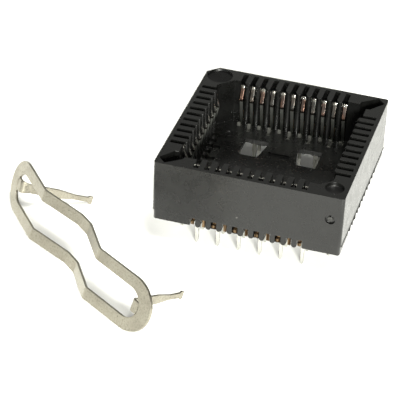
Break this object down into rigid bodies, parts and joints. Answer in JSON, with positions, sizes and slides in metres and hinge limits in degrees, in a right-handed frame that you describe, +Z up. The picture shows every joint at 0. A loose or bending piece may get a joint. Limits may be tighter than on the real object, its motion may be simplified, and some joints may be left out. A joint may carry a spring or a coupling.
{
  "type": "plcc socket",
  "caption": "Square through-hole chip-carrier socket with spring contacts along four walls, an open pocket and a loose stamped retaining clip",
  "frame": {"origin": "middle of the housing's underside, in the plane of its lower rim; the feet and the solder tails reach below it", "axes": "+Z up out of the pocket, +Y towards the side with the first contact and the index corner at its left end, +X to the right"},
  "size_m": [0.0409, 0.0397, 0.0115],
  "materials": {
    "housing_plastic": "moulded black thermoplastic",
    "contact_plating": "tin-plated phosphor bronze",
    "clip_steel": "stamped spring steel"
  },
  "bodies": {
    "socket": {"housing": "housing_plastic", "contact_01": "contact_plating", "contact_02": "contact_plating", "contact_03": "contact_plating", "contact_04": "contact_plating", "contact_05": "contact_plating", "contact_06": "contact_plating", "contact_07": "contact_plating", "contact_08": "contact_plating", "contact_09": "contact_plating", "contact_10": "contact_plating", "contact_11": "contact_plating", "contact_12": "contact_plating", "contact_13": "contact_plating", "contact_14": "contact_plating", "contact_15": "contact_plating", "contact_16": "contact_plating", "contact_17": "contact_plating", "contact_18": "contact_plating", "contact_19": "contact_plating", "contact_20": "contact_plating", "contact_21": "contact_plating", "contact_22": "contact_plating", "contact_23": "contact_plating", "contact_24": "contact_plating", "contact_25": "contact_plating", "contact_26": "contact_plating", "contact_27": "contact_plating", "contact_28": "contact_plating", "contact_29": "contact_plating", "contact_30": "contact_plating", "contact_31": "contact_plating", "contact_32": "contact_plating", "contact_33": "contact_plating", "contact_34": "contact_plating", "contact_35": "contact_plating", "contact_36": "contact_plating", "contact_37": "contact_plating", "contact_38": "contact_plating", "contact_39": "contact_plating", "contact_40": "contact_plating", "contact_41": "contact_plating", "contact_42": "contact_plating", "contact_43": "contact_plating", "contact_44": "contact_plating"},
    "clip": {"retaining_clip": "clip_steel"}
  },
  "joints": [
    {"name": "clip_lift", "type": "slide", "parent": "socket", "child": "clip", "axis": [0, 0, 1], "range_m": [0, 0.03]}
  ]
}
